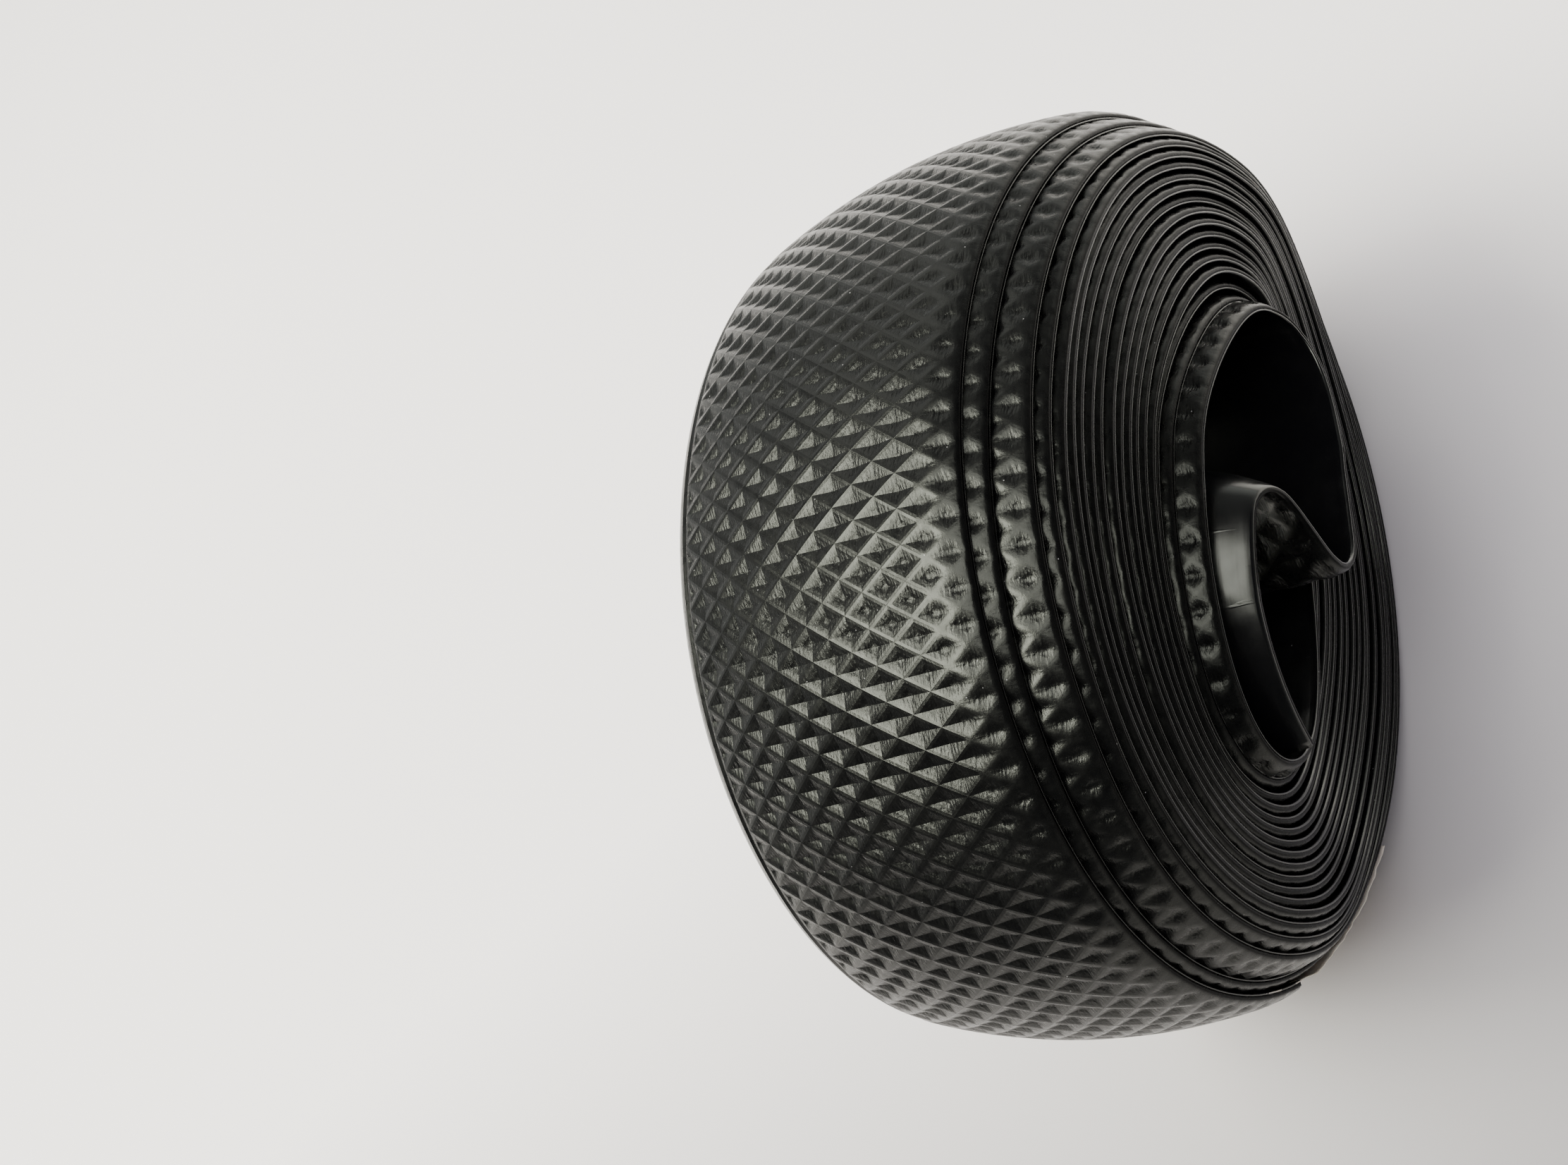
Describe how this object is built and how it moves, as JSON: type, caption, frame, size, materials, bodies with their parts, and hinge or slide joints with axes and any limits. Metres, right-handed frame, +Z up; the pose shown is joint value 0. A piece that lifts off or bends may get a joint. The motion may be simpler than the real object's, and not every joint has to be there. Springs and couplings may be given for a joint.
{
  "type": "grip tape roll",
  "caption": "Oval roll of thin black grip tape with a diamond-embossed outer face, wound with no spool, its inner end folded into an S in the core.",
  "frame": {"origin": "middle of the roll's underside, where it stands on its long flat side", "axes": "+X along the winding axis towards the side where the inner turns stand out, +Y along the oval's long axis, +Z up through its short axis"},
  "size_m": [0.04, 0.0752, 0.0642],
  "materials": {
    "facing": "semi-gloss embossed",
    "backing": "smooth gloss",
    "film": "translucent satin"
  },
  "bodies": {
    "root": {"embossed_facing": "facing", "smooth_backing": "backing", "closing_film": "film"}
  },
  "joints": []
}
